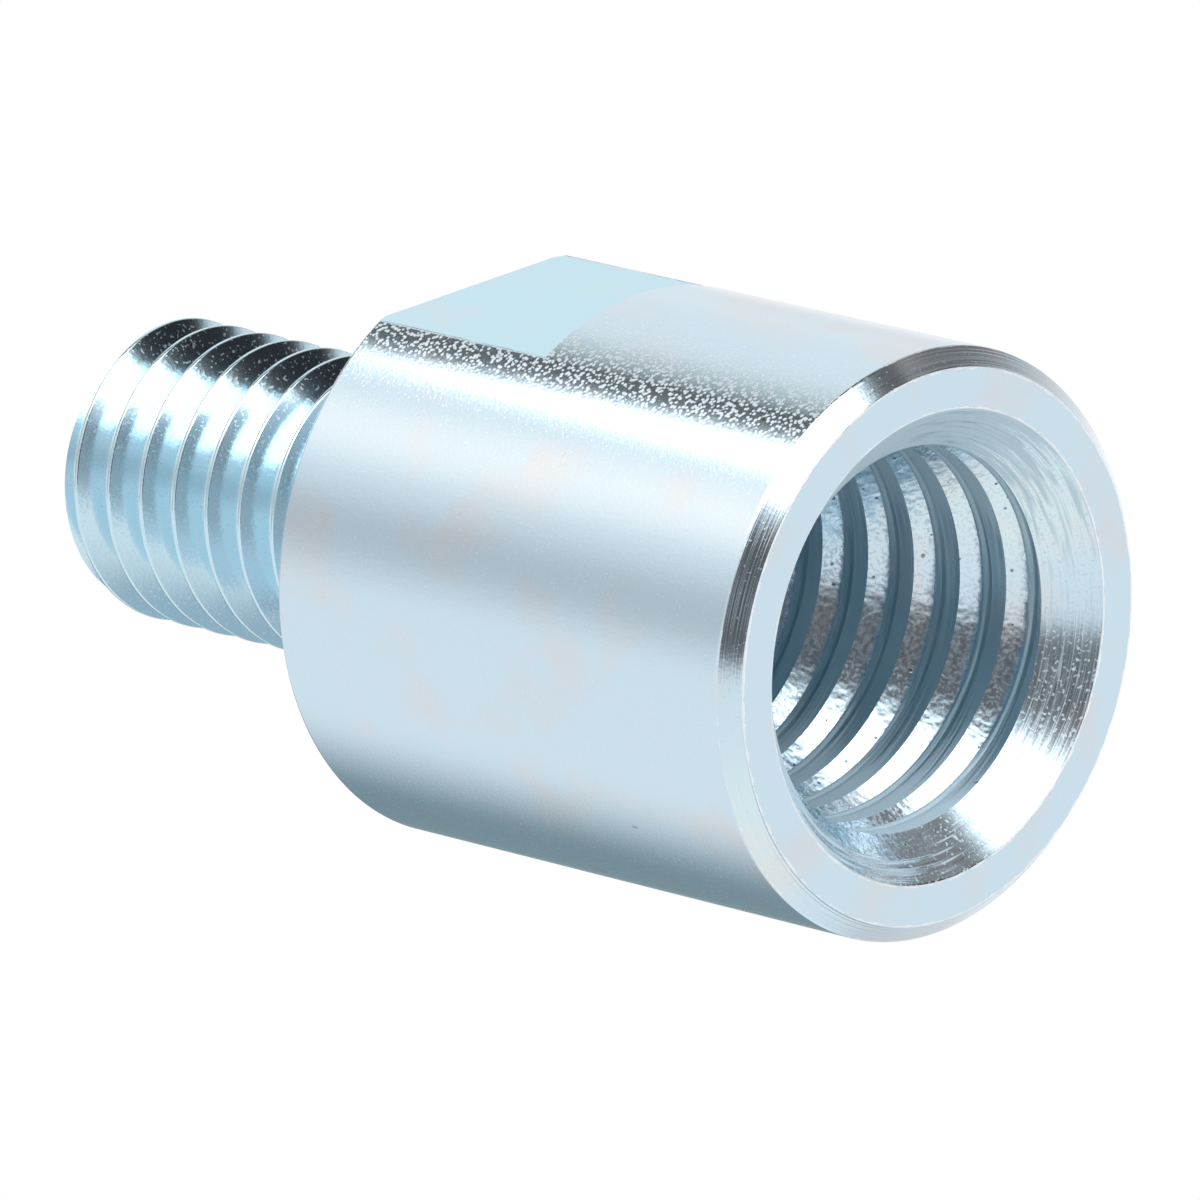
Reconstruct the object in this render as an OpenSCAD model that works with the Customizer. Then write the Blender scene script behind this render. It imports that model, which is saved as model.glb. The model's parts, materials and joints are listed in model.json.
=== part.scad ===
// Thread adapter, turned from one steel bar: a threaded stud at one end and a tapped
// blind hole at the other. It stands on the mouth of the hole and the stud points up.
// The stud is drawn at the outside diameter of its thread, and the hole at the diameter
// that is drilled before it is tapped.

/* [Body] */
// Diameter of the turned body
body_d = 19; // [17.6:0.2:30]
// Length of the body, from the mouth to the shoulder that the stud stands on
body_len = 20; // [18:0.5:40]
// Width of the 45 degree chamfer round the mouth
mouth_chamfer = 0.6; // [0.1:0.05:1.6]
// Width of the edge break round the shoulder
shoulder_break = 0.25; // [0.1:0.05:0.7]

/* [Wrench flats] */
// Distance across the two milled flats
across_flats = 17; // [15:0.1:17.4]
// Length of the flats, measured from the shoulder
flat_len = 7.6; // [3:0.1:14]

/* [Stud] */
// Outside diameter of the stud's thread
stud_d = 9.85; // [6:0.05:14]
// Length of the stud
stud_len = 15; // [5:0.5:40]
// Width of the 45 degree lead-in chamfer at the stud's end
stud_chamfer = 0.8; // [0.2:0.05:1.5]

/* [Tapped hole] */
// Diameter of the hole that is drilled before tapping
bore_d = 12.4; // [8:0.1:14.4]
// Depth of the hole's straight wall, measured from the mouth
bore_depth = 16; // [6:0.5:17]
// Angle of the drill's point at the bottom of the hole
drill_angle = 118; // [90:1:140]
// Diameter of the countersink at the mouth
sink_d = 15.2; // [14.6:0.1:17.4]
// Angle of the countersink
sink_angle = 90; // [60:5:120]

/* [Hidden] */
$fn = 96;
// How far a cutting shape reaches past the face that it cuts
overshoot = 1;
body_r = body_d / 2;
stud_r = stud_d / 2;
bore_r = bore_d / 2;
sink_r = sink_d / 2;
stud_end_z = body_len + stud_len;
// The flats end below in a square step at this height
step_z = body_len - flat_len;
// The cone of the countersink meets the straight wall at this depth
sink_depth = (sink_r - bore_r) / tan(sink_angle / 2);
// The cone is carried on past the mouth, so that it cuts the face cleanly
sink_over_r = sink_r + overshoot * tan(sink_angle / 2);
// Height of the cone that the drill's point leaves
point_len = bore_r / tan(drill_angle / 2);

// The bar as it leaves the lathe: body, chamfers and stud in one turned outline
module turned_blank() {
    rotate_extrude()
        polygon([
            [0, 0],
            [body_r - mouth_chamfer, 0],
            [body_r, mouth_chamfer],
            [body_r, body_len - shoulder_break],
            [body_r - shoulder_break, body_len],
            [stud_r, body_len],
            [stud_r, stud_end_z - stud_chamfer],
            [stud_r - stud_chamfer, stud_end_z],
            [0, stud_end_z]
        ]);
}

// The metal that the cutter takes off one side, down to the square step
module flat_cut() {
    translate([-body_r - overshoot, across_flats / 2, step_z])
        cube([body_d + 2 * overshoot, body_r, flat_len + overshoot]);
}

// The two flats face away from each other, across the stud
module wrench_flats() {
    for (turn = [0, 180])
        rotate([0, 0, turn])
            flat_cut();
}

// Countersink, straight wall and drill point, as one turned cut
module tapped_hole() {
    rotate_extrude()
        polygon([
            [0, -overshoot],
            [sink_over_r, -overshoot],
            [bore_r, sink_depth],
            [bore_r, bore_depth],
            [0, bore_depth + point_len]
        ]);
}

module adapter() {
    color("lightsteelblue")
        difference() {
            turned_blank();
            wrench_flats();
            tapped_hole();
        }
}

adapter();
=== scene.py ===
# %% [markdown]
# # A zinc-plated thread adapter
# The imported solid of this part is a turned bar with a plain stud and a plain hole. Here it gets
# its two threads, its real edges and its bright zinc finish. The solid stays the frame: every
# size below is either read from it or is a cut that stays inside it. Sizes are worked out in
# millimetres and become metres when they go into Blender.

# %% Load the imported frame
import json
import math

import bpy
import numpy as np
from mathutils import Matrix, Vector


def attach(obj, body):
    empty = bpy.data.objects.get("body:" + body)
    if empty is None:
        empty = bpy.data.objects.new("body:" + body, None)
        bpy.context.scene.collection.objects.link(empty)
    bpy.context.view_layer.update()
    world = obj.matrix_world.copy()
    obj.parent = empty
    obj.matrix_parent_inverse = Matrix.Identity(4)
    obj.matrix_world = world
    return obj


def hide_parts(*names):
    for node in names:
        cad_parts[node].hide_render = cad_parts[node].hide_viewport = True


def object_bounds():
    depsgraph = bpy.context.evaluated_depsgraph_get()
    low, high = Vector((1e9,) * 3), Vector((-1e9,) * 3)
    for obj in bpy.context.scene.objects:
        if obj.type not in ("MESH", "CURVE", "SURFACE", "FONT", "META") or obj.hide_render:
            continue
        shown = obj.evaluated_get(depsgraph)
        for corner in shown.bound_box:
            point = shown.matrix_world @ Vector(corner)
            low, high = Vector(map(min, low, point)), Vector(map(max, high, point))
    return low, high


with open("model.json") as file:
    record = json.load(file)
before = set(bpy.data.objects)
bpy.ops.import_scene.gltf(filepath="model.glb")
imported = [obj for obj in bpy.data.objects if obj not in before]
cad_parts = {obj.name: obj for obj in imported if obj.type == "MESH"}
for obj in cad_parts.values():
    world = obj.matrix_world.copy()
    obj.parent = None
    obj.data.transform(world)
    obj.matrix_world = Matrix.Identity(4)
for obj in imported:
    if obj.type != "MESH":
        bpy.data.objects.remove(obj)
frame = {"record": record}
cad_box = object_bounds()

MM = 0.001
mounts = {mount["name"]: mount for mount in frame["record"]["mounts"]}
BODY_R = cad_box[1].x / MM
TOTAL_LEN = cad_box[1].z / MM
BODY_LEN = mounts["shoulder_face"]["pos_m"][2] / MM
FLAT_Y = mounts["flat_back"]["pos_m"][1] / MM
STUD_R = mounts["stud"]["dims"]["r_mm"]
BORE_R = mounts["mouth_thread"]["dims"]["r_mm"]
print(f"body r {BODY_R:.2f}, flats at {FLAT_Y:.2f}, stud r {STUD_R:.3f}, hole r {BORE_R:.2f} mm")

# %% [markdown]
# ## The camera
# Product photos of small hardware use a long lens from some way off, so that parallel edges
# stay nearly parallel. The camera is told by the point it looks at, the direction that it
# stands in and its roll. The part stands on its mouth in its own frame, so this camera is
# rolled a long way over and looks up from below: the picture shows the part lying down. A
# scratch program fitted its numbers to the part's outline and circles in the photo.

# %% Camera from an aim point, two angles, a roll and a distance
AIM_MM = (-0.41, 0.92, 14.49)
CAMERA_AZIMUTH = math.radians(-155.78)
CAMERA_ELEVATION = math.radians(-42.49)
CAMERA_ROLL = math.radians(-76.63)
CAMERA_DISTANCE_MM = 579.8
LENS_MM = 546.44

back = Vector((
    math.cos(CAMERA_ELEVATION) * math.cos(CAMERA_AZIMUTH),
    math.cos(CAMERA_ELEVATION) * math.sin(CAMERA_AZIMUTH),
    math.sin(CAMERA_ELEVATION),
))
level_right = Vector((0, 0, 1)).cross(back).normalized()
level_up = back.cross(level_right)
right = math.cos(CAMERA_ROLL) * level_right + math.sin(CAMERA_ROLL) * level_up
up = back.cross(right)

camera_data = bpy.data.cameras.new("photo_camera")
camera_data.lens = LENS_MM
camera_data.clip_start = 0.05
camera_data.clip_end = 10
camera = bpy.data.objects.new("photo_camera", camera_data)
camera.matrix_world = Matrix((
    (right.x, up.x, back.x, 0),
    (right.y, up.y, back.y, 0),
    (right.z, up.z, back.z, 0),
    (0, 0, 0, 1),
))
camera.location = (Vector(AIM_MM) + CAMERA_DISTANCE_MM * back) * MM
bpy.context.scene.collection.objects.link(camera)
bpy.context.scene.camera = camera
bpy.context.scene.view_settings.view_transform = "Standard"
print("camera at", [round(x / MM, 1) for x in camera.location], "mm")

# %% [markdown]
# ## Small helpers
# Colours are picked as sRGB hex values, as they look on a screen, while the renderer counts
# in linear light, so one function turns the first into the second. Another adds a node with
# its settings and links, which keeps each material a short list.

# %% Colour and node helpers
def linear(hex_code):
    """Linear RGBA of an sRGB hex code: each channel goes through the sRGB curve."""
    srgb = np.array([int(hex_code[i:i + 2], 16) for i in (1, 3, 5)]) / 255
    values = np.where(srgb <= 0.04045, srgb / 12.92, ((srgb + 0.055) / 1.055) ** 2.4)
    return (*values.tolist(), 1.0)


def node(tree, kind, inputs=None, **settings):
    """Adds a node: settings are its own, and inputs gives a socket a value or a link."""
    made = tree.nodes.new("ShaderNode" + kind)
    for name, value in settings.items():
        setattr(made, name, value)
    for socket, value in (inputs or {}).items():
        if isinstance(value, bpy.types.NodeSocket):
            tree.links.new(value, made.inputs[socket])
        else:
            made.inputs[socket].default_value = value
    return made


# %% [markdown]
# ## The light
# Bright metal has almost no colour of its own: it shows what stands round it. So the look of
# this part is mostly a map of the studio: a white room, a long softbox overhead, a dark gap
# behind the softbox and the dark end of the room round the camera.

# %% The white room with its dark places
WHITE = "#ffffff"
ROOM_FILL = 0.6

world = bpy.data.worlds.new("white_room")
bpy.context.scene.world = world
world.use_nodes = True
room = world.node_tree
room.nodes.clear()


def studio_direction(x, y, z):
    """A direction told as seen by the photographer: right, up and towards the camera."""
    return (x * right + y * up + z * back).normalized()


def soft_place(ray, centre, long_axis, half_long, half_wide, softness):
    """
    A soft ellipse on the room's walls: 1 in the middle and 0 outside. The ray's shares along
    the two axes, each over its half size, give a distance, and the edge is a smooth step.
    """
    middle = studio_direction(*centre)
    along = studio_direction(*long_axis)
    along = (along - along.dot(middle) * middle).normalized()
    across = middle.cross(along)
    squares = []
    for axis, half in ((along, half_long), (across, half_wide)):
        share = node(room, "VectorMath", {0: ray, 1: axis / half}, operation="DOT_PRODUCT")
        squares.append(node(room, "Math", {0: share.outputs["Value"], 1: 2.0}, operation="POWER"))
    both = node(room, "Math", {i: square.outputs[0] for i, square in enumerate(squares)},
                operation="ADD")
    distance = node(room, "Math", {0: both.outputs[0]}, operation="SQRT")
    edge = node(
        room, "MapRange",
        {"Value": distance.outputs[0], "From Min": 1 - softness, "From Max": 1 + softness,
         "To Min": 1.0, "To Max": 0.0},
        interpolation_type="SMOOTHSTEP",
    )
    ahead = node(room, "VectorMath", {0: ray, 1: middle}, operation="DOT_PRODUCT")
    is_ahead = node(room, "Math", {0: ahead.outputs["Value"], 1: 0.0}, operation="GREATER_THAN")
    mask = node(room, "Math", {0: edge.outputs[0], 1: is_ahead.outputs[0]}, operation="MULTIPLY")
    return mask.outputs[0]


# Each place is told by directions as the photographer sees them. Its half sizes are shares of
# the way to the wall, softness is the share of the size that its edge takes, and level says
# how much brighter than the written shade it is. The photo shows no room: a scratch program
# fitted these numbers, shades too, and the softbox below to the colours that the part mirrors
# in the photo. Six places are as the fit gave them, and the others were then changed.
PLACES = {
    "pale panel at the left": dict(
        centre=(-0.75, 0.63, 0.17), long_axis=(-0.5, -0.7, 0.4),
        half_long=0.20, half_wide=0.25, softness=0.48, shade="#fff2e9", level=1.49),
    "bright backdrop behind": dict(
        centre=(0.20, 0.03, -0.98), long_axis=(0, 1, 0),
        half_long=0.26, half_wide=0.18, softness=0.50, shade="#f6f6f7", level=1.3),
    "pale table below": dict(
        centre=(0.02, -0.96, 0.27), long_axis=(0, 0, 1),
        half_long=0.43, half_wide=0.34, softness=0.59, shade="#fffbf3", level=1.13),
    "low wall behind": dict(
        centre=(0.26, -0.58, -0.77), long_axis=(0, 1, -1),
        half_long=0.30, half_wide=0.25, softness=0.47, shade="#ede6e3"),
    "shaded table beside the part": dict(
        centre=(0.58, -0.81, 0.0), long_axis=(0.12, 0.07, 1),
        half_long=0.55, half_wide=0.18, softness=0.40, shade="#b2c3ce"),
    "camera end": dict(
        centre=(0.19, 0.00, 0.98), long_axis=(0.98, 0.19, 0),
        half_long=0.47, half_wide=0.34, softness=0.19, shade="#605b5d"),
    "grey wall behind the softbox": dict(
        centre=(-0.01, 0.97, -0.23), long_axis=(0.89, 0.05, 0.44),
        half_long=0.81, half_wide=0.13, softness=0.61, shade="#d2d6d3"),
    "strip along the softbox": dict(
        centre=(-0.06, 0.99, -0.15), long_axis=(0.93, -0.04, 0.37),
        half_long=1.50, half_wide=0.12, softness=0.10, shade="#3c3432"),
    "gap behind the softbox": dict(
        centre=(0.57, 0.72, -0.40), long_axis=(0.12, 0.20, -0.97),
        half_long=0.58, half_wide=0.25, softness=0.70, shade="#817673"),
    "darkest part of the gap": dict(
        centre=(0.87, 0.47, 0.08), long_axis=(0, 0.07, -1),
        half_long=0.42, half_wide=0.20, softness=0.20, shade="#272427"),
    # Painted shadow: this dark patch of table stands for the part's own shadow on it.
    "shadowed table behind": dict(
        centre=(-0.30, -0.32, -0.90), long_axis=(-0.62, -0.44, 0.65),
        half_long=0.45, half_wide=0.26, softness=0.40, shade="#84979e"),
    "left wall": dict(
        centre=(-0.99, 0.13, 0.07), long_axis=(0, 0, 1),
        half_long=0.95, half_wide=0.17, softness=0.87, shade="#d6d6d7"),
}
# In a world's tree, Generated is the direction that the ray goes.
ray = node(room, "TexCoord").outputs["Generated"]
wall_colour = linear(WHITE)
for place, values in PLACES.items():
    level = values.pop("level", 1.0)
    shade = (*(level * value for value in linear(values.pop("shade"))[:3]), 1.0)
    mask = soft_place(ray, **values)
    mixed = node(room, "Mix", {"Factor": mask, "A": wall_colour, "B": shade}, data_type="RGBA")
    wall_colour = mixed.outputs["Result"]
    print("place on the walls:", place)

# %% [markdown]
# The metal mirrors the room, the camera sees plain white behind the part, and everything else
# is lit by an even, weaker white.

# %% What each kind of ray sees
light_path = node(room, "LightPath")
seen = node(
    room, "Math",
    {0: light_path.outputs["Is Glossy Ray"], 1: light_path.outputs["Is Transmission Ray"]},
    operation="MAXIMUM",
).outputs[0]
walls = node(room, "Background", {"Color": wall_colour, "Strength": 1.0})
backdrop = node(room, "Background", {"Color": linear(WHITE), "Strength": 1.0})
fill = node(room, "Background", {"Color": linear(WHITE), "Strength": ROOM_FILL})
for_metal = node(room, "MixShader", {0: seen, 1: fill.outputs[0], 2: walls.outputs[0]})
for_all = node(
    room, "MixShader",
    {0: light_path.outputs["Is Camera Ray"], 1: for_metal.outputs[0], 2: backdrop.outputs[0]},
)
node(room, "OutputWorld", {"Surface": for_all.outputs[0]})

# %% [markdown]
# The softbox hangs above the part as the photographer sees it. Its length runs a little away
# from the camera towards the left, and its width sets how wide the highlights are. Its middle
# and its size are told in shares of its height above the part.

# %% The long softbox overhead
SOFTBOX_HEIGHT_MM = 400
SOFTBOX_MIDDLE = (1.175, 0.80)
SOFTBOX_SIZE = (3.90, 1.47)
SOFTBOX_TURN = math.radians(27)
SOFTBOX_GLOW = 2.0

floor_x = right * math.cos(SOFTBOX_TURN) + back * math.sin(SOFTBOX_TURN)
floor_y = back * math.cos(SOFTBOX_TURN) - right * math.sin(SOFTBOX_TURN)
softbox_data = bpy.data.lights.new("softbox", "AREA")
softbox_data.shape = "RECTANGLE"
softbox_data.size = SOFTBOX_SIZE[0] * SOFTBOX_HEIGHT_MM * MM
softbox_data.size_y = SOFTBOX_SIZE[1] * SOFTBOX_HEIGHT_MM * MM
softbox_area = softbox_data.size * softbox_data.size_y
softbox_data.energy = SOFTBOX_GLOW * math.pi * softbox_area
softbox = bpy.data.objects.new("softbox", softbox_data)
# An area light shines along its own -z, so its z axis points up, away from the part.
facing = -floor_x.cross(floor_y)
side = floor_y.cross(facing)
softbox.matrix_world = Matrix((
    (side.x, floor_y.x, facing.x, 0),
    (side.y, floor_y.y, facing.y, 0),
    (side.z, floor_y.z, facing.z, 0),
    (0, 0, 0, 1),
))
PART_MIDDLE_MM = Vector((0, 0, TOTAL_LEN / 2))
softbox.location = (
    PART_MIDDLE_MM
    + SOFTBOX_HEIGHT_MM * (up + SOFTBOX_MIDDLE[0] * floor_x + SOFTBOX_MIDDLE[1] * floor_y)
) * MM
softbox.visible_camera = False
bpy.context.scene.collection.objects.link(softbox)
print(f"softbox of {softbox_area:.2f} m2 with {softbox_data.energy:.1f} W")

# %% [markdown]
# ## The floor
# The part stands on its mouth, and the picture's camera looks up into that mouth from below
# the floor. So the floor shows only from above: from below it is clear, and no light or
# mirror image is stopped by it. From above it is a pale sheet with the part's soft shadow.

# %% One-sided pale floor
FLOOR_Z_MM = -0.02
FLOOR_HALF_MM = 6000
FLOOR_LIFT = 0.45

floor_mesh = bpy.data.meshes.new("floor")
floor_mesh.from_pydata(
    [(x * FLOOR_HALF_MM * MM, y * FLOOR_HALF_MM * MM, FLOOR_Z_MM * MM)
     for x, y in ((-1, -1), (1, -1), (1, 1), (-1, 1))],
    [], [(0, 1, 2, 3)],
)
floor = bpy.data.objects.new("floor", floor_mesh)
bpy.context.scene.collection.objects.link(floor)
floor.visible_shadow = False
floor.visible_diffuse = False
floor.visible_glossy = False
floor.visible_transmission = False
floor_material = bpy.data.materials.new("pale_studio_floor")
floor_material.use_nodes = True
sheet = floor_material.node_tree
sheet.nodes.clear()
paint = node(sheet, "BsdfDiffuse", {"Color": linear("#f4f4f4")})
lift = node(sheet, "Emission", {"Color": linear(WHITE), "Strength": FLOOR_LIFT})
lit = node(sheet, "AddShader", {0: paint.outputs[0], 1: lift.outputs[0]})
clear = node(sheet, "BsdfTransparent")
underneath = node(sheet, "NewGeometry").outputs["Backfacing"]
sided = node(sheet, "MixShader", {0: underneath, 1: lit.outputs[0], 2: clear.outputs[0]})
node(sheet, "OutputMaterial", {"Surface": sided.outputs[0]})
floor_mesh.materials.append(floor_material)
print("floor at", FLOOR_Z_MM, "mm")

# %% [markdown]
# ## Rows and columns
# A turned part is a profile swept round an axis. Each row below is one ring of the surface
# and each column is one angle round it. Columns gather at the four corners of the wrench
# flats, so that those edges are crisp but not razor sharp.

# %% Angles round the part
FLAT_COLUMNS = 36
ROUND_COLUMNS = 88
CORNER_COLUMNS = 5
CORNER_SPREAD = math.radians(0.36)
CORNER = math.asin(FLAT_Y / BODY_R)


def turn_of_columns():
    """One turn: a round stretch, a corner, a flat, a corner, and the same again."""
    corner = np.linspace(-CORNER_SPREAD, CORNER_SPREAD, CORNER_COLUMNS)[:-1]
    round_end = CORNER - CORNER_SPREAD
    flat_start = CORNER + CORNER_SPREAD
    half = np.concatenate([
        np.linspace(-round_end, round_end, ROUND_COLUMNS + 1)[:-1],
        CORNER + corner,
        np.linspace(flat_start, math.pi - flat_start, FLAT_COLUMNS + 1)[:-1],
        math.pi - CORNER + corner,
    ])
    return np.sort(np.concatenate([half, half + math.pi]) % (2 * math.pi))


turn = turn_of_columns()
COLUMNS = len(turn)
print(COLUMNS, "columns round the part")

# %% [markdown]
# ## Putting a surface together
# The surface is made in bands of rows: the mouth, the body, the stud and the hole. In all of
# them the rows go the same way, from the bottom of the hole out over the mouth and up to the
# end of the stud, so that every face points outwards. A thread is a helix, so its rows climb by
# one pitch in a turn, and where the last column meets the first one again each row joins the
# row one pitch further on. Points that fall together, as at a helix's ends, are merged.

# %% Bands of faces
bands = []


def add_band(radius, height, finish, shift=0, angles=turn[None, :]):
    """
    Keeps one band: radius and height hold a value for each row and column, in mm. Column 0
    follows the last column, and rows with a shift meet the row that many rows further on.
    """
    rows = radius.shape[0]
    heights = np.broadcast_to(height, radius.shape)
    points = [radius * np.cos(angles), radius * np.sin(angles), heights]
    row, column = np.meshgrid(np.arange(rows - 1), np.arange(COLUMNS), indexing="ij")
    after = (column + 1) % COLUMNS
    climb = np.where(after == 0, shift, 0)
    near = np.clip(row + climb, 0, rows - 1)
    far = np.clip(row + 1 + climb, 0, rows - 1)
    corners = [(row, column), (near, after), (far, after), (row + 1, column)]
    quads = np.stack([r * COLUMNS + c for r, c in corners], -1)
    bands.append((
        np.stack(points, -1).reshape(-1, 3),
        quads.reshape(-1, 4),
        np.broadcast_to(finish, row.shape).ravel(),
    ))


# %% [markdown]
# A profile starts as a few corners. Real corners are never sharp, so each is rounded, and
# where two surfaces meet the lesser of them is taken with its crease smoothed.

# %% Rounded profiles and smooth joins
def refine(knots, longest):
    """Keeps the knots and splits each stretch between them that is longer than this."""
    stretches = [
        np.linspace(start, end, math.ceil((end - start) / longest) + 1)[:-1]
        for start, end in zip(knots[:-1], knots[1:])
    ]
    return np.concatenate([*stretches, knots[-1:]])


def rounded(points, cut, parts=4):
    """
    A polyline with its corners rounded. At each inner corner the two sides are cut back by
    the same length, and a quadratic curve with the corner as its handle joins the two cuts.
    """
    points = np.array(points, float)
    cuts = np.broadcast_to(cut, len(points) - 2)
    steps = np.linspace(0, 1, parts)[:, None]
    path = [points[:1]]
    for before, corner, after, length in zip(points[:-2], points[1:-1], points[2:], cuts):
        start = corner + (before - corner) * length / np.linalg.norm(before - corner)
        end = corner + (after - corner) * length / np.linalg.norm(after - corner)
        path.append((1 - steps) ** 2 * start + 2 * steps * (1 - steps) * corner + steps ** 2 * end)
    path.append(points[-1:])
    return np.concatenate(path)


def smooth_step(x):
    """0 below 0, 1 above 1, and 3x^2 - 2x^3 between."""
    x = np.clip(x, 0, 1)
    return x * x * (3 - 2 * x)


def blended_least(a, b, blend):
    """The lesser of a and b, rounded off by a parabola where they differ by less than blend."""
    near = np.maximum(blend - np.abs(a - b), 0) / blend
    return np.minimum(a, b) - near ** 2 * blend / 4


# %% Rows along a thread
def helix_rows(knots, pitch, phase, low, high):
    """
    Heights of the rows of a thread, for each row and column. The knots of one pitch repeat
    along the axis, each row climbs one pitch in a turn, and rows stop at both ends.
    """
    first = math.floor((low - phase) / pitch) - 1
    turns = math.ceil((high - low) / pitch) + 3
    starts = phase + pitch * (first + np.arange(turns))
    rows = (starts[:, None] + knots[None, :-1]).ravel()
    return np.clip(rows[:, None] + pitch * turn[None, :] / (2 * math.pi), low, high)


def snap_rows(z, gap):
    """
    Moves the row nearest to each place where two surfaces cross onto the crossing, so that
    the edge between them is clean. gap is their distance at each row, and changes sign there.
    """
    crossing = gap[:-1] * gap[1:] < 0
    share = np.where(crossing, gap[:-1] / np.where(crossing, gap[:-1] - gap[1:], 1), 0)
    meet = z[:-1] + share * (z[1:] - z[:-1])
    snapped = z.copy()
    snapped[:-1] = np.where(crossing & (share < 0.5), meet, snapped[:-1])
    snapped[1:] = np.where(crossing & (share >= 0.5), meet, snapped[1:])
    return snapped


# %% [markdown]
# ## The finishes of one surface
# The whole part is one metal with one plating, but each tool left its own marks under it.
# So the faces are told apart by what cut them, and each kind gets its own material.

# %% Names of the cut surfaces
FINISHES = ["bar_turned", "chamfer_turned", "countersunk", "drilled_land", "tapped_groove",
            "cut_thread", "milled_flat", "mouth_ring", "faced_end"]
BODY, CHAMFER, SINK, LAND, GROOVE, STUD, FLAT, RING, FACED = range(len(FINISHES))
print(len(FINISHES), "finishes")

# %% [markdown]
# ## The mouth
# A ring is left flat between the countersink and the chamfer. Its edges are broken by only a
# few hundredths of a millimetre, which draws thin bright lines round the mouth, with burr lines
# painted pale along them as highlights.

# %% Mouth ring and chamfer
SINK_R = 7.6
SINK_ANGLE = math.radians(90)
MOUTH_CHAMFER = 0.6
FLAT_LEN = 7.6
EDGE_CUT = 0.08
SINK_STRIP = 0.5
step_z = BODY_LEN - FLAT_LEN

mouth = rounded(
    [(SINK_R - SINK_STRIP, SINK_STRIP / math.tan(SINK_ANGLE / 2)), (SINK_R, 0),
     (BODY_R - MOUTH_CHAMFER, 0), (BODY_R, MOUTH_CHAMFER), (BODY_R, step_z)],
    EDGE_CUT,
)[1:]
middle_r = (mouth[:-1, 0] + mouth[1:, 0]) / 2
middle_z = (mouth[:-1, 1] + mouth[1:, 1]) / 2
mouth_finish = np.where(middle_r < BODY_R - MOUTH_CHAMFER, RING, CHAMFER)
mouth_finish = np.where(middle_r < SINK_R, SINK, mouth_finish)
mouth_finish = np.where(middle_z > MOUTH_CHAMFER, BODY, mouth_finish)
add_band(np.repeat(mouth[:, :1], COLUMNS, 1), mouth[:, 1:], mouth_finish[:, None])
print("mouth rows", len(mouth))

# %% [markdown]
# ## The body and its flats
# The body is turned from bar and broken at the shoulder, and then two flats are milled across
# it for a wrench. They end in a square step, because the cutter came in from the side. The
# step and the shoulder are the band's first and last rows, and they are faced surfaces.

# %% Milled flats
SHOULDER_BREAK = 0.25
CORNER_BLEND = 0.03
FLAT_END_ROUND = 0.1
BODY_ROW = 1.0
EDGE_ROWS = 12
EDGE_REACH = 1.4
LEAST_SINE = 0.5
ON_EDGE = 0.001

body_z = refine(np.array([step_z, BODY_LEN - EDGE_REACH * SHOULDER_BREAK]), BODY_ROW)
body_z = np.append(body_z[:-1], np.linspace(body_z[-1], BODY_LEN, EDGE_ROWS))
body_row_r = blended_least(BODY_R, BODY_R - (body_z - BODY_LEN + SHOULDER_BREAK), CORNER_BLEND)
into_round = np.maximum(body_z - BODY_LEN + FLAT_END_ROUND, 0)
flat_row_y = FLAT_Y - FLAT_END_ROUND + np.sqrt(FLAT_END_ROUND ** 2 - into_round ** 2)


def flat_outline(row_r, row_y):
    """
    Radius and angle of each column where the flats are cut: the lesser of the round and of
    the flat's plane, rounded off where they meet. Columns slide so that the corner columns
    stay on the corner when the round gets smaller.
    """
    folded = np.arcsin(np.abs(np.sin(turn)))[None, :]
    corner = np.arcsin(row_y / row_r)[:, None]
    slid = np.where(
        folded <= CORNER,
        folded * corner / CORNER,
        math.pi / 2 - (math.pi / 2 - folded) * (math.pi / 2 - corner) / (math.pi / 2 - CORNER),
    )
    plane = row_y[:, None] / np.maximum(np.sin(slid), LEAST_SINE)
    outline = blended_least(row_r[:, None], plane, CORNER_BLEND)
    return outline, turn + np.sign(np.cos(turn) * np.sin(turn)) * (slid - folded)


outline, outline_angles = flat_outline(body_row_r, flat_row_y)
round_row = np.full((1, COLUMNS), BODY_R)
stud_foot = np.full((1, COLUMNS), STUD_R)
on_flat = np.abs(np.sin(turn)) > math.sin(CORNER) - ON_EDGE
body_finish = np.where(on_flat, FLAT, BODY)[None, :]
faced_row = np.full_like(body_finish, FACED)
add_band(
    np.concatenate([round_row, outline, stud_foot]),
    np.concatenate([[step_z], body_z, [BODY_LEN]])[:, None],
    np.concatenate([faced_row, body_finish.repeat(len(body_z) - 1, 0), faced_row]),
    angles=np.concatenate([turn[None, :], outline_angles, turn[None, :]]),
)
print("body rows", len(body_z))

# %% [markdown]
# ## The stud's thread
# The thread is cut with a pointed tool: 60 degree flanks, a narrow crest and a rounded root.
# Near the shoulder it runs out, and at the end it is cut away by the lead-in chamfer.

# %% Stud thread
STUD_PITCH = 1.5
STUD_CREST_Z = 31.4077
STUD_CHAMFER = 0.8
STUD_DEPTH = 0.85
FLANK_RUN = math.tan(math.radians(30))
CREST_HALF = 0.06
CREST_CUT = 0.04
ROOT_CUT = 0.12
RUN_OUT = 1.3
THREAD_ROW = 0.45

flank_end = CREST_HALF + STUD_DEPTH * FLANK_RUN
stud_profile = rounded(
    [(0, 0), (CREST_HALF, 0), (flank_end, STUD_DEPTH), (STUD_PITCH - flank_end, STUD_DEPTH),
     (STUD_PITCH - CREST_HALF, 0), (STUD_PITCH, 0)],
    [CREST_CUT, ROOT_CUT, ROOT_CUT, CREST_CUT],
    parts=3,
)


def stud_radius(z, around):
    """Radius of the stud: its outside radius less the thread's depth at this place."""
    place = (z - STUD_CREST_Z - STUD_PITCH * around / (2 * math.pi)) % STUD_PITCH
    run_out = smooth_step((z - BODY_LEN) / RUN_OUT)
    return STUD_R - np.interp(place, stud_profile[:, 0], stud_profile[:, 1]) * run_out


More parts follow.
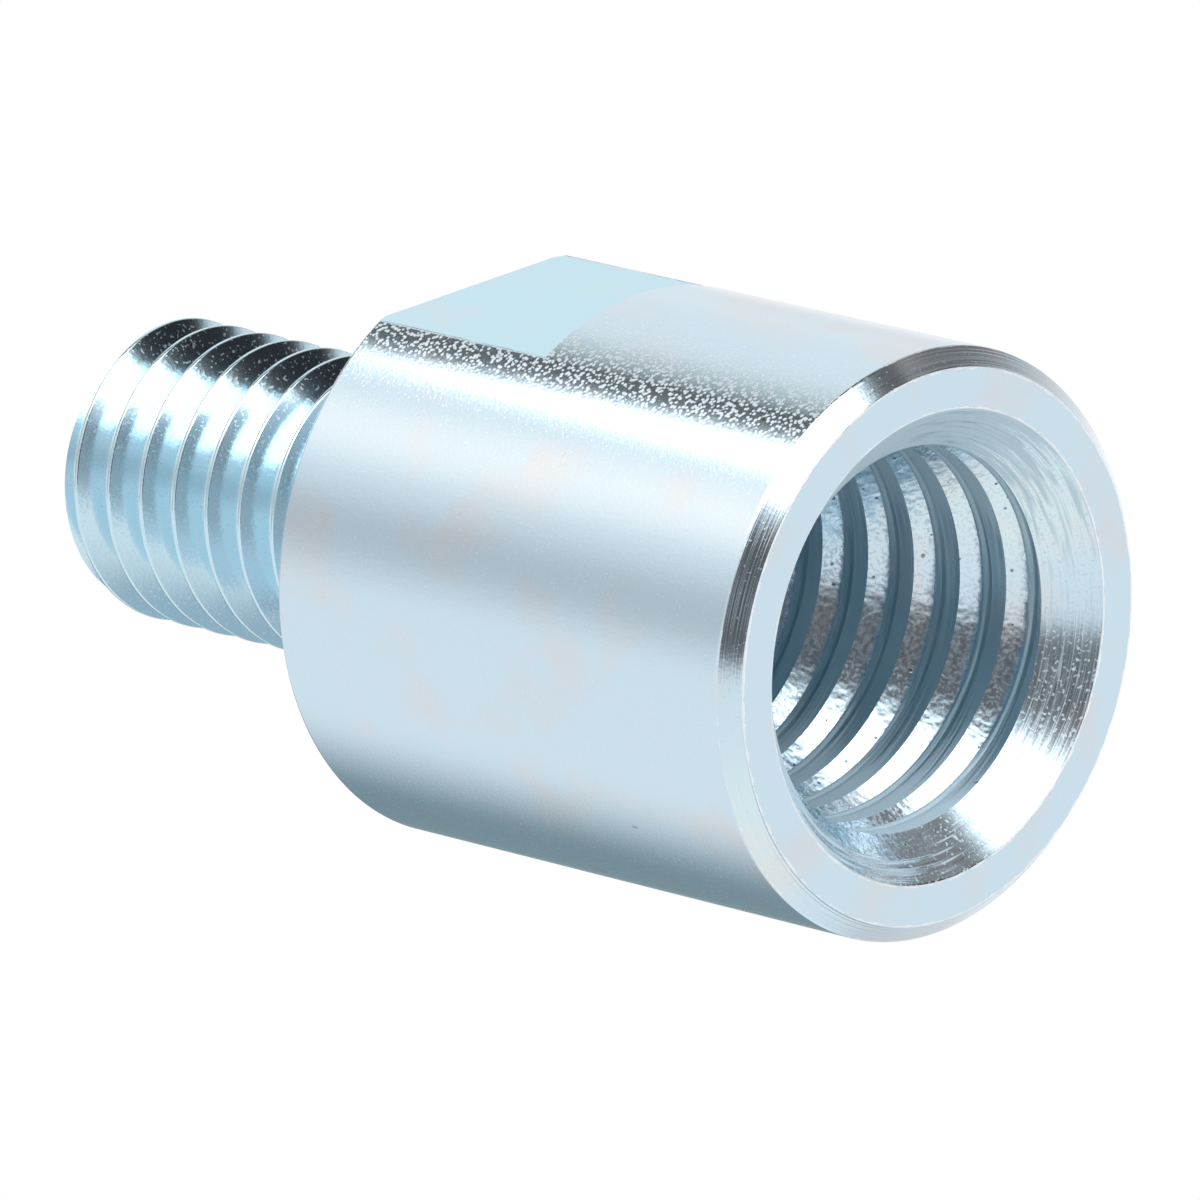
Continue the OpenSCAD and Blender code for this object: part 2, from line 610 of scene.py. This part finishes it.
def lead_in_radius(z):
    """Radius of the 45 degree cone at the stud's end."""
    return STUD_R - (z - TOTAL_LEN + STUD_CHAMFER)


stud_rows = refine(stud_profile[:, 0], THREAD_ROW)
around = turn[None, :]
z = helix_rows(stud_rows, STUD_PITCH, STUD_CREST_Z, BODY_LEN, TOTAL_LEN)
z = snap_rows(z, lead_in_radius(z) - stud_radius(z, around))
stud = np.minimum(lead_in_radius(z), stud_radius(z, around))
add_band(stud, z, STUD, shift=len(stud_rows) - 1)
end_face = np.concatenate([stud[-1:], stud[-1:] * 0.5, stud[-1:] * 0])
add_band(end_face, np.full((3, 1), TOTAL_LEN), FACED)
print("stud rows", len(z), "a pitch", len(stud_rows) - 1)

# %% [markdown]
# ## The tapped hole
# The hole is drilled, its mouth is countersunk, and a tap cuts the helical groove. The drilled
# wall stays as a wide land between the turns. Seen from the mouth, each groove shows only the
# flank that faces out, which leans at 45 degrees and carries the tap's chatter. On the far edge
# of each land the tap has pressed up a small lip, with a shallow dip in front of it.

# %% Tapped hole with its countersink
HOLE_PITCH = 2.0
HOLE_EDGE_Z = 2.9026
HOLE_DEPTH = 16.0
DRILL_ANGLE = math.radians(118)
LAND_WIDTH = 0.62
DIP_DEPTH = 0.05
DIP_RISE = 0.12
LIP_START = 0.95
LIP_END = 1.07
TAP_DEPTH = 0.72
ROOT_START = 1.20
LAND_CUT = 0.02
GROOVE_CUT = 0.03
TAP_LEAD_START = 13.0
TAP_LEAD_END = 14.8
DRILL_ROWS = 12

hole_profile = rounded(
    [(0, 0), (LAND_WIDTH, 0), (LIP_START - DIP_RISE, DIP_DEPTH), (LIP_START, 0), (LIP_END, 0),
     (ROOT_START, TAP_DEPTH), (HOLE_PITCH - TAP_DEPTH, TAP_DEPTH), (HOLE_PITCH, 0)],
    [LAND_CUT] * 4 + [GROOVE_CUT] * 2,
    parts=3,
)


def sink_radius(z):
    """Radius of the countersink's cone at a height above the mouth."""
    return SINK_R - z * math.tan(SINK_ANGLE / 2)


def hole_radius(z, around):
    """Radius of the tapped wall: the drilled radius and the groove's depth at this place."""
    place = (z - HOLE_EDGE_Z - HOLE_PITCH * around / (2 * math.pi)) % HOLE_PITCH
    lead = 1 - smooth_step((z - TAP_LEAD_START) / (TAP_LEAD_END - TAP_LEAD_START))
    return BORE_R + np.interp(place, hole_profile[:, 0], hole_profile[:, 1]) * lead


hole_rows = refine(hole_profile[:, 0], THREAD_ROW)
z = helix_rows(hole_rows, HOLE_PITCH, HOLE_EDGE_Z, mouth[0, 1], HOLE_DEPTH)
z = snap_rows(z, sink_radius(z) - hole_radius(z, around))
wall = np.maximum(sink_radius(z), hole_radius(z, around))
middle_z = (z[:-1] + z[1:]) / 2
middle_wall = hole_radius(middle_z, around)
place_in_pitch = (middle_z - HOLE_EDGE_Z - HOLE_PITCH * around / (2 * math.pi)) % HOLE_PITCH
hole_finish = np.where(place_in_pitch < LIP_END, LAND, GROOVE)
hole_finish = np.where(sink_radius(middle_z) > middle_wall, SINK, hole_finish)
add_band(wall[::-1], z[::-1], hole_finish[::-1], shift=1 - len(hole_rows))

drill_r = np.linspace(0, BORE_R, DRILL_ROWS)
drill_z = HOLE_DEPTH + (BORE_R - drill_r) / math.tan(DRILL_ANGLE / 2)
add_band(np.repeat(drill_r[:, None], COLUMNS, 1), drill_z[:, None], LAND)
print("hole rows", len(z), "a pitch", len(hole_rows) - 1)

# %% [markdown]
# ## One closed mesh
# All bands are joined into one mesh. Points at the same place become one point, faces that
# shrank to a line are left out, and the script checks that the result is a closed solid.

# %% Join the bands
MERGE_MM = 1e-4


def joined(bands):
    """Points, triangles and finishes of all bands, with equal points merged."""
    starts = np.cumsum([0] + [len(points) for points, _, _ in bands])
    points = np.concatenate([points for points, _, _ in bands])
    quads = np.concatenate([quads + start for (_, quads, _), start in zip(bands, starts)])
    finish = np.concatenate([finish for _, _, finish in bands])
    keys = np.round(points / MERGE_MM).astype(np.int64)
    _, kept, merged = np.unique(keys, axis=0, return_index=True, return_inverse=True)
    quads = merged.ravel()[quads]
    triangles = np.concatenate([quads[:, [0, 1, 2]], quads[:, [0, 2, 3]]])
    finish = np.concatenate([finish, finish])
    a, b, c = triangles.T
    solid = (a != b) & (b != c) & (c != a)
    return points[kept], triangles[solid], finish[solid]


points, triangles, finish = joined(bands)
edges = np.sort(np.concatenate([triangles[:, [0, 1]], triangles[:, [1, 2]], triangles[:, [2, 0]]]))
_, uses = np.unique(edges, axis=0, return_counts=True)
a, b, c = (points[triangles[:, i]] for i in range(3))
volume = np.einsum("ij,ij->i", a, np.cross(b, c)).sum() / 6
print(f"{len(triangles)} triangles, open edges {np.sum(uses != 2)}, volume {volume:.0f} mm3")

adapter_mesh = bpy.data.meshes.new("thread_adapter")
adapter_mesh.from_pydata((points * MM).tolist(), [], triangles.tolist())
adapter_mesh.polygons.foreach_set("material_index", finish.astype(np.int32))
adapter_mesh.polygons.foreach_set("use_smooth", np.ones(len(triangles), bool))
adapter_mesh.update()
adapter = bpy.data.objects.new("thread_adapter", adapter_mesh)
bpy.context.scene.collection.objects.link(adapter)

# %% [markdown]
# ## Normals that keep the flanks flat
# A mirror-like surface shows every error of its normals. The faces of a thread's flank are much
# larger than those of its rounded edges, so at each corner the faces' normals are averaged by
# area: then the rounding bends the mirror image only where it really is. Faces that meet at
# more than the sharp angle don't share a normal.

# %% Corner normals weighted by area
SHARP_ANGLE = math.radians(28)
MOST_NEIGHBOURS = 16


def corner_normals(points, triangles):
    """
    For each corner, the sum of the area vectors of its own face and of the faces at the same
    point that lean by less than the sharp angle from it, made one long. Corners are sorted by
    their point, so that shifting the list by 1, 2, 3 ... places finds all neighbours.
    """
    a, b, c = (points[triangles[:, i]] for i in range(3))
    area = np.cross(b - a, c - a)
    unit = area / np.linalg.norm(area, axis=1)[:, None]
    order = np.argsort(triangles.ravel(), kind="stable")
    point = triangles.ravel()[order]
    face = order // 3
    total = area[face]
    for shift in range(1, MOST_NEIGHBOURS + 1):
        one, other = face[:-shift], face[shift:]
        lean = np.einsum("ij,ij->i", unit[one], unit[other])
        share = ((point[:-shift] == point[shift:]) & (lean > math.cos(SHARP_ANGLE)))[:, None]
        total[:-shift] += area[other] * share
        total[shift:] += area[one] * share
    normals = np.empty_like(total)
    normals[order] = total / np.linalg.norm(total, axis=1)[:, None]
    return normals


adapter_mesh.normals_split_custom_set(corner_normals(points, triangles).tolist())
print("corner normals set on", len(adapter_mesh.loops), "corners")

# %% [markdown]
# ## Zinc plate
# The steel is plated with zinc in a turning barrel and then dipped in a clear-blue passivate.
# That gives a bright, slightly blue metal over every mark of the tools, and two things break
# its shine. Where parts rubbed on each other in the barrel, the plate is matte in small round
# dots: they stand out as white specks where the mirror image is dark, and can't be seen where
# it is pale. In the hole and its countersink the plate is thin and has a dull bloom. Both
# could be painted as an image. Here they are patterns in millimetres, which have no seams and
# keep their size on every surface.

# %% Tints of the plate
# The metal's own tint: most surfaces, warm clouds where the passivate is thin, the bluest on
# the milled flat, the deep one on the drilled wall, and the one on the stud.
ZINC = "#cbe0ec"
ZINC_WARM = "#d5dae0"
ZINC_BLUE = "#bde2ef"
ZINC_DEEP = "#bdd4de"
ZINC_CUT = "#c8e3ef"
# What lies on it: matte dots, bloom, stains, pit floors in painted shade, and burrs with
# painted light and painted shade.
PALE_GRAIN = "#dce8f0"
BLOOM = "#d3eaf5"
STAIN = "#7d7468"
# Painted shade: the dark grey laid into the floor of each pit.
PAINTED_PIT_SHADE = "#4a5257"
# Painted light and shade: a near-white burr for a lit edge, a grey one for an edge in shade.
LIT_BURR = "#f3f7fa"
SHADED_BURR = "#9aa6ad"
print("zinc in linear light", [round(value, 3) for value in linear(ZINC)[:3]])


# %% Places in the part's own measures
def place_in_mm(tree):
    """The shaded point in the part's own frame, in mm."""
    coordinates = node(tree, "TexCoord").outputs["Object"]
    scaled = node(tree, "VectorMath", {0: coordinates, "Scale": 1 / MM}, operation="SCALE")
    return scaled.outputs[0]


def polar(tree, place):
    """Angle in turns, distance from the axis in mm and height in mm of a place in mm."""
    parts = node(tree, "SeparateXYZ", {0: place}).outputs
    angle = node(tree, "Math", {0: parts["Y"], 1: parts["X"]}, operation="ARCTAN2")
    turns = node(tree, "Math", {0: angle.outputs[0], 1: 2 * math.pi}, operation="DIVIDE")
    flat = node(tree, "VectorMath", {0: place, 1: (1, 1, 0)}, operation="MULTIPLY")
    distance = node(tree, "VectorMath", {0: flat.outputs[0]}, operation="LENGTH")
    return turns.outputs[0], distance.outputs["Value"], parts["Z"]


# %% [markdown]
# Tool marks are noise that is stretched along the way that the tool went. They are drawn in
# the part's own measures: turns round the axis, distance from it and height. Each tool has its
# own stretch: how often the noise repeats in a turn and in a millimetre of profile.

# %% Tool marks
def stretched_noise(tree, place, per_turn, per_mm, detail):
    """Noise that repeats its lumps this often in a turn, and this often in a mm of profile."""
    turns, distance, height = polar(tree, place)
    lumps = node(tree, "CombineXYZ", {
        axis: node(tree, "Math", {0: measure, 1: often}, operation="MULTIPLY").outputs[0]
        for axis, (measure, often) in enumerate(
            [(turns, per_turn), (distance, per_mm), (height, per_mm)])
    })
    settings = {"Vector": lumps.outputs[0], "Scale": 1.0, "Detail": detail}
    return node(tree, "TexNoise", settings).outputs[0]


def turned_rings(tree, place):
    """Fine rings left by the tool that turned the chamfer."""
    return stretched_noise(tree, place, per_turn=5.0, per_mm=15.0, detail=1.0)


def countersink_rings(tree, place):
    """Broader, shorter rings: a countersink has several edges and shudders."""
    return stretched_noise(tree, place, per_turn=9.0, per_mm=7.0, detail=2.5)


def tap_chatter(tree, place):
    """Ticks across the groove's flank, where the tap's teeth stuck and slipped."""
    return stretched_noise(tree, place, per_turn=150.0, per_mm=2.6, detail=1.0)


# %% [markdown]
# Matte spots are a pattern too: where its value is high, the metal turns matte. Cut surfaces
# have even grains. The bar has round dots, which are the cells of a Voronoi pattern. The real
# ones go down to hundredths of a millimetre, and are drawn a tenth wide, so that they show.

# %% Matte grains and dots
GRAIN_MM = 0.115
DOT_SPACING_MM = 0.145
STRAY_DOTS = 0.33
BAR_SIDE = math.radians(245)
BAR_SHARE = 6.5


def even_grains(tree, place):
    """Matte grains of zinc, as long as they are wide: plain noise."""
    settings = {"Vector": place, "Scale": 1 / GRAIN_MM, "Detail": 0.6}
    return node(tree, "TexNoise", settings).outputs[0]


def gathered(tree, place, grains, side, share):
    """Grains that gather on one side of the part: grains + share (cos(angle - side) - 1)."""
    turns, _, _ = polar(tree, place)
    turned = node(tree, "Math", {0: turns, 1: 2 * math.pi, 2: -side}, operation="MULTIPLY_ADD")
    nearness = node(tree, "Math", {0: turned.outputs[0]}, operation="COSINE")
    more = node(
        tree, "Math", {0: nearness.outputs[0], 1: share, 2: -share}, operation="MULTIPLY_ADD")
    return node(tree, "Math", {0: grains, 1: more.outputs[0]}, operation="ADD").outputs[0]


def bar_grains(tree, place):
    """
    Round dots, 1 less the distance to the nearest one's middle. They gather where the bar lay
    in the barrel, and a few small ones are all round it: the greater of the two patterns.
    """
    cells = node(tree, "TexVoronoi", {"Vector": place, "Scale": 1 / DOT_SPACING_MM})
    away = {0: 1.0, 1: cells.outputs["Distance"]}
    dots = node(tree, "Math", away, operation="SUBTRACT").outputs[0]
    strays = node(tree, "Math", {0: dots, 1: STRAY_DOTS}, operation="SUBTRACT")
    both = {0: gathered(tree, place, dots, BAR_SIDE, BAR_SHARE), 1: strays.outputs[0]}
    return node(tree, "Math", both, operation="MAXIMUM").outputs[0]


print(f"grains {GRAIN_MM} mm, dots every {DOT_SPACING_MM} mm")

# %% [markdown]
# The bloom in the hole follows the tools as well. On the countersink it lies in streaks round
# the cone, and on the thread's lands in fine lines that run with the thread. Both gather on one
# side, where the plating fluid stayed in the hole while the part dried.

# %% Bloom in the hole
PRESSED_SIDE = math.radians(225)
PRESSED_SHARE = 0.25
ROUND_GRAINS = 0.47
BLOOM_SIDE = math.radians(203)
LAND_LINES = 3.0
LAND_SHARE = 1.5
SLOW_PER_MM = 0.35


def countersink_grains(tree, place):
    """
    Streaks along the countersink, which gather where its tool pressed harder, and a few round
    grains. The round ones are taken down, so that they show where the streaks are thin.
    """
    streaks = stretched_noise(tree, place, per_turn=24.0, per_mm=8.0, detail=1.5)
    grains = {0: even_grains(tree, place), 1: ROUND_GRAINS}
    lowered = node(tree, "Math", grains, operation="SUBTRACT")
    both = {0: gathered(tree, place, streaks, PRESSED_SIDE, PRESSED_SHARE),
            1: lowered.outputs[0]}
    return node(tree, "Math", both, operation="MAXIMUM").outputs[0]


def land_lines(tree, place):
    """
    Fine lines that run with the thread along its lands. They are drawn across
    height / pitch - turns, which is the same all along such a line. Its sine and cosine close
    the seam at half a turn, and a slow share of the place makes the lines come and go.
    """
    turns, _, height = polar(tree, place)
    pitches = node(tree, "Math", {0: height, 1: HOLE_PITCH}, operation="DIVIDE")
    across = node(tree, "Math", {0: pitches.outputs[0], 1: turns}, operation="SUBTRACT")
    angle = node(tree, "Math", {0: across.outputs[0], 1: 2 * math.pi}, operation="MULTIPLY")
    wave = {
        name: node(tree, "Math", {0: angle.outputs[0]}, operation=name).outputs[0]
        for name in ("SINE", "COSINE")
    }
    circle = node(tree, "CombineXYZ", {0: wave["SINE"], 1: wave["COSINE"]}).outputs[0]
    spread = node(tree, "VectorMath", {0: circle, "Scale": LAND_LINES}, operation="SCALE")
    slow = node(tree, "VectorMath", {0: place, "Scale": SLOW_PER_MM}, operation="SCALE")
    both = {0: spread.outputs[0], 1: slow.outputs[0]}
    vector = node(tree, "VectorMath", both, operation="ADD").outputs[0]
    lines = node(tree, "TexNoise", {"Vector": vector, "Scale": 1.0, "Detail": 2.0}).outputs[0]
    return gathered(tree, place, lines, BLOOM_SIDE, LAND_SHARE)


print(f"bloom gathers at {math.degrees(BLOOM_SIDE):.0f} degrees in the hole")

# %% [markdown]
# The tap tore small pits into the groove, and drops that dried on the part left short brown
# hairs. Both are drawn from the cells of a Voronoi pattern: a pit is a disc round a cell's
# middle, and a hair is the same disc in a space that is bent and squeezed. A pit's floor is
# painted dark grey: painted shade in the pit.

# %% Pits and stains
PIT_SPACING_MM = 0.4
PIT_R_MM = 0.055
PIT_SPREAD = 1.5
STAIN_SPACING_MM = 1.3
HAIR_BENDS_PER_MM = 0.9
HAIR_TURN = (0.5, 0.4, 0.9)
HAIR_SQUEEZE = 0.16
HAIR_HALF_WIDE = (0.015, 0.04)
BARE_CELLS = 0.35


def round_pits(tree, place):
    """Sparse round pits of different sizes: 1 in them and 0 between."""
    cells = node(tree, "TexVoronoi", {"Vector": place, "Scale": 1 / PIT_SPACING_MM})
    lot = node(tree, "SeparateColor", {0: cells.outputs["Color"]}).outputs[0]
    largest = PIT_SPREAD * PIT_R_MM / PIT_SPACING_MM
    size = node(tree, "Math", {0: lot, 1: largest}, operation="MULTIPLY")
    share = {0: cells.outputs["Distance"], 1: size.outputs[0]}
    return node(
        tree, "MapRange",
        {"Value": node(tree, "Math", share, operation="DIVIDE").outputs[0],
         "From Min": 0.5, "To Min": 1.0, "To Max": 0.0},
        interpolation_type="SMOOTHSTEP",
    ).outputs[0]


def stain_specks(tree, place):
    """
    Short brown hairs and specks, 1 on them and 0 between. The place is wrung by a slow noise
    and squeezed along one direction, so that the cells' middles become short bent strokes.
    """
    bend = node(tree, "TexNoise", {"Vector": place, "Scale": HAIR_BENDS_PER_MM, "Detail": 1.0})
    bent = node(tree, "VectorMath", {0: place, 1: bend.outputs["Color"]}, operation="ADD")
    squeezed = node(tree, "Mapping", {"Vector": bent.outputs[0], "Rotation": HAIR_TURN,
                                      "Scale": (1.0, 1.0, HAIR_SQUEEZE)})
    cells = node(tree, "TexVoronoi",
                 {"Vector": squeezed.outputs[0], "Scale": 1 / STAIN_SPACING_MM})
    stroke = node(
        tree, "MapRange",
        {"Value": cells.outputs["Distance"],
         "From Min": HAIR_HALF_WIDE[0], "From Max": HAIR_HALF_WIDE[1],
         "To Min": 1.0, "To Max": 0.0},
    )
    lot = node(tree, "SeparateColor", {0: cells.outputs["Color"]}).outputs[0]
    chosen = node(tree, "Math", {0: lot, 1: BARE_CELLS}, operation="GREATER_THAN")
    both = {0: stroke.outputs[0], 1: chosen.outputs[0]}
    return node(tree, "Math", both, operation="MULTIPLY").outputs[0]


print(f"pits up to {PIT_R_MM} mm, stains every {STAIN_SPACING_MM} mm")

# %% [markdown]
# Every edge that a tool has left carries a burr of a few hundredths of a millimetre. It is too
# small to model, so it is drawn: a thin line whose width comes and goes. Its colour is painted
# light or shade: near white where the burr stands for a lit edge, grey on the flat's edges for
# one in shade.

# %% Ragged lines along the edges
EDGE_WANDER_MM = 0.5
WANDER_VALUES = (0.35, 0.65)
NARROWEST, WIDEST = 0.2, 1.8
RIM_START, RIM_END = 0.7, 1.2


def inside_band(tree, measure, start, end):
    """Distance from the nearer end of a band: its half width less the way to its middle."""
    offset = node(tree, "Math", {0: measure, 1: (start + end) / 2}, operation="SUBTRACT")
    aside = node(tree, "Math", {0: offset.outputs[0]}, operation="ABSOLUTE")
    left = {0: (end - start) / 2, 1: aside.outputs[0]}
    return node(tree, "Math", left, operation="SUBTRACT").outputs[0]


def ring_edges(tree, place):
    """Distance from the nearer of the mouth ring's two edges."""
    _, distance, _ = polar(tree, place)
    return inside_band(tree, distance, SINK_R, BODY_R - MOUTH_CHAMFER)


def chamfer_edges(tree, place):
    """Distance along the axis from the nearer of the chamfer's two edges."""
    _, _, height = polar(tree, place)
    return inside_band(tree, height, 0.0, MOUTH_CHAMFER)


def flat_edges(tree, place):
    """Distance from the nearest edge of a wrench flat: its two sides, its step and its end."""
    parts = node(tree, "SeparateXYZ", {0: place}).outputs
    half_wide = math.sqrt(BODY_R ** 2 - FLAT_Y ** 2)
    both = {0: inside_band(tree, parts["X"], -half_wide, half_wide),
            1: inside_band(tree, parts["Z"], step_z, BODY_LEN)}
    return node(tree, "Math", both, operation="MINIMUM").outputs[0]


def ragged_line(tree, place, distance, width):
    """1 within a width of the edge that a fine noise makes wider and narrower, 0 beyond it."""
    settings = {"Vector": place, "Scale": 1 / EDGE_WANDER_MM, "Detail": 3.0}
    wander = node(tree, "TexNoise", settings)
    reach = node(
        tree, "MapRange",
        {"Value": wander.outputs[0],
         "From Min": WANDER_VALUES[0], "From Max": WANDER_VALUES[1],
         "To Min": NARROWEST * width, "To Max": WIDEST * width},
    )
    share = node(tree, "Math", {0: distance, 1: reach.outputs[0]}, operation="DIVIDE")
    return node(
        tree, "MapRange",
        {"Value": share.outputs[0], "From Min": RIM_START, "From Max": RIM_END,
         "To Min": 1.0, "To Max": 0.0},
    ).outputs[0]


# %% [markdown]
# One function makes every finish, because they are all the same plate over different cuts. It
# stacks colours from the plate up: clouds, matte spots, stains, pits with painted shade on their
# floors and burrs with painted light or shade. Heights become bump, one after the other. A zinc
# surface is a metal, so its colour is its mirror tint and its IOR stays as it is. Only where the
# bloom covers it does less of the metal show.

# %% Plated metal
MICRON = 1e-6
GRAIN_ROUGH = 0.34
GRAIN_HEIGHT = 1.6
CLOUDS_PER_MM = 0.35
CLOUD_VALUES = (0.5, 0.68)
PIT_SHADE = 0.7
BURR_ROUGH = 0.5


def plated(name, roughness, matte=None, cover=1.0, ramp=0.08, matte_rough=GRAIN_ROUGH,
           matte_colour=None, bloom=0.0, zinc=ZINC, warmth=0.8, specks=0.0,
           marks=None, mark_height=0.0, pit_depth=0.0, edges=None, edge_width=0.04,
           edge_colour=LIT_BURR):
    """
    One zinc-plated finish, of this roughness and this tint of zinc.
    matte draws a pattern: from the value cover on, over a ramp, the metal gets the roughness
    matte_rough, the colour matte_colour if there is one, and loses bloom of its metallic.
    warmth and specks are how much of the warm clouds and of the brown stains shows. marks
    draws the tool's marks, and edges gives the distance from an edge that has a burr.
    mark_height and pit_depth are in thousandths of a millimetre, and edge_width is in mm.
    """
    material = bpy.data.materials.new(name)
    material.use_nodes = True
    tree = material.node_tree
    tree.nodes.clear()
    place = place_in_mm(tree)
    cloud = node(tree, "TexNoise", {"Vector": place, "Scale": CLOUDS_PER_MM, "Detail": 3.0})
    warm = node(
        tree, "MapRange",
        {"Value": cloud.outputs[0], "From Min": CLOUD_VALUES[0], "From Max": CLOUD_VALUES[1],
         "To Max": warmth},
    )
    layers = [(warm.outputs[0], ZINC_WARM)]
    bumps = [(even_grains(tree, place), GRAIN_HEIGHT)]
    rough = roughness
    metallic = 1.0
    if matte:
        grain = node(
            tree, "MapRange",
            {"Value": matte(tree, place), "From Min": cover, "From Max": cover + ramp},
            interpolation_type="SMOOTHSTEP",
        ).outputs[0]
        rough = node(
            tree, "Mix", {"Factor": grain, "A": roughness, "B": matte_rough}).outputs["Result"]
        if matte_colour:
            layers.append((grain, matte_colour))
        if bloom:
            metallic = node(
                tree, "Mix", {"Factor": grain, "A": 1.0, "B": 1 - bloom}).outputs["Result"]
    if specks:
        stain = {0: stain_specks(tree, place), 1: specks}
        layers.append((node(tree, "Math", stain, operation="MULTIPLY").outputs[0], STAIN))
    if marks:
        bumps.append((marks(tree, place), mark_height))
    # A pit is a shallow dent, and its floor is painted dark: painted shade.
    if pit_depth:
        pit = round_pits(tree, place)
        bumps.append((pit, -pit_depth))
        shade = node(tree, "Math", {0: pit, 1: PIT_SHADE}, operation="MULTIPLY")
        layers.append((shade.outputs[0], PAINTED_PIT_SHADE))
    # A burr line: edge_colour paints it as lit or as in shade, and it turns rough.
    if edges:
        line = ragged_line(tree, place, edges(tree, place), edge_width)
        layers.append((line, edge_colour))
        rough = node(
            tree, "Mix", {"Factor": line, "A": rough, "B": BURR_ROUGH}).outputs["Result"]
    colour = linear(zinc)
    for share, layer in layers:
        both = {"Factor": share, "A": colour, "B": linear(layer)}
        colour = node(tree, "Mix", both, data_type="RGBA").outputs["Result"]
    surface = {}
    for height, size in bumps:
        raised = {"Height": height, "Strength": 1.0, "Distance": size * MICRON, **surface}
        surface = {"Normal": node(tree, "Bump", raised).outputs[0]}
    metal = node(tree, "BsdfPrincipled",
                 {"Base Color": colour, "Metallic": metallic, "Roughness": rough, **surface})
    node(tree, "OutputMaterial", {"Surface": metal.outputs[0]})
    return material


# %% [markdown]
# Each finish starts from the roughness that its tool leaves under the plate, and cover picks
# how much of its pattern turns matte. On the drilled wall cover is far below zero, since
# gathering takes off up to twice its share: the bloom thins on one side only.

# %% The finish of each cut surface
finishes = {
    # Smooth turned bar: long soft highlights, with white dots wherever they turn dark.
    "bar_turned": plated(
        "zinc_on_turned_bar", roughness=0.16, matte=bar_grains, cover=0.45, ramp=0.16,
        matte_colour=PALE_GRAIN, specks=0.8),
    # Turned chamfer: the brightest surface, broken up by fine rings, between two burrs in painted
    # light.
    "chamfer_turned": plated(
        "zinc_on_turned_chamfer", roughness=0.15, matte=even_grains, cover=0.68,
        marks=turned_rings, mark_height=12.0, edges=chamfer_edges, edge_width=0.02),
    # Countersink: coarse rings that smear the highlight along the cone, under streaks of bloom.
    "countersunk": plated(
        "zinc_on_countersink", roughness=0.22, matte=countersink_grains, cover=0.10, ramp=0.3,
        matte_rough=0.6, matte_colour=BLOOM, bloom=0.75,
        marks=countersink_rings, mark_height=30.0),
    # Drilled wall left between the turns: dull and blue-grey, with fine lines along the lands.
    "drilled_land": plated(
        "zinc_on_drilled_wall", roughness=0.28, matte=land_lines, cover=-2.48, ramp=0.5,
        matte_rough=0.5, matte_colour=BLOOM, bloom=0.85, zinc=ZINC_DEEP),
    # Tapped flank: bright, crossed by the tap's chatter, with grains and small pits in painted
    # shade.
    "tapped_groove": plated(
        "zinc_on_tapped_groove", roughness=0.19, matte=even_grains, cover=0.52,
        matte_rough=0.30, marks=tap_chatter, mark_height=18.0, pit_depth=7.0),
    # Cut stud thread: sharp bright flanks of the clearest blue, with a fine matte grain.
    "cut_thread": plated(
        "zinc_on_cut_thread", roughness=0.15, matte=even_grains, cover=0.62,
        matte_rough=0.30, zinc=ZINC_CUT, warmth=0.2),
    # Milled flat: one even pale blue, a little satin, with a few brown hairs and a grey rim of
    # painted shade.
    "milled_flat": plated(
        "zinc_on_milled_flat", roughness=0.25, zinc=ZINC_BLUE, warmth=0.4, specks=0.6,
        edges=flat_edges, edge_colour=SHADED_BURR),
    # Faced ring of the mouth: plain and satin, drawn by thin burrs on its edges, painted bright as
    # highlights.
    "mouth_ring": plated("zinc_on_mouth_ring", roughness=0.25, edges=ring_edges),
    # Shoulder, stud's end and the flats' steps: faced, with shallow rings and few grains.
    "faced_end": plated(
        "zinc_on_faced_end", roughness=0.20, matte=even_grains, cover=0.62,
        marks=turned_rings, mark_height=2.0),
}
for name in FINISHES:
    adapter_mesh.materials.append(finishes[name])
    print(finishes[name].name, "on", int(np.sum(finish == FINISHES.index(name))), "triangles")

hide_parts("adapter")
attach(adapter, "root")

# %% [markdown]
# ## The last measure
# The imported solid's box is printed, in mm. The dressed part has to stay inside the imported
# solid's box.

# %% Size, then the end
print("cad", [round(x / MM, 3) for corner in cad_box for x in corner])
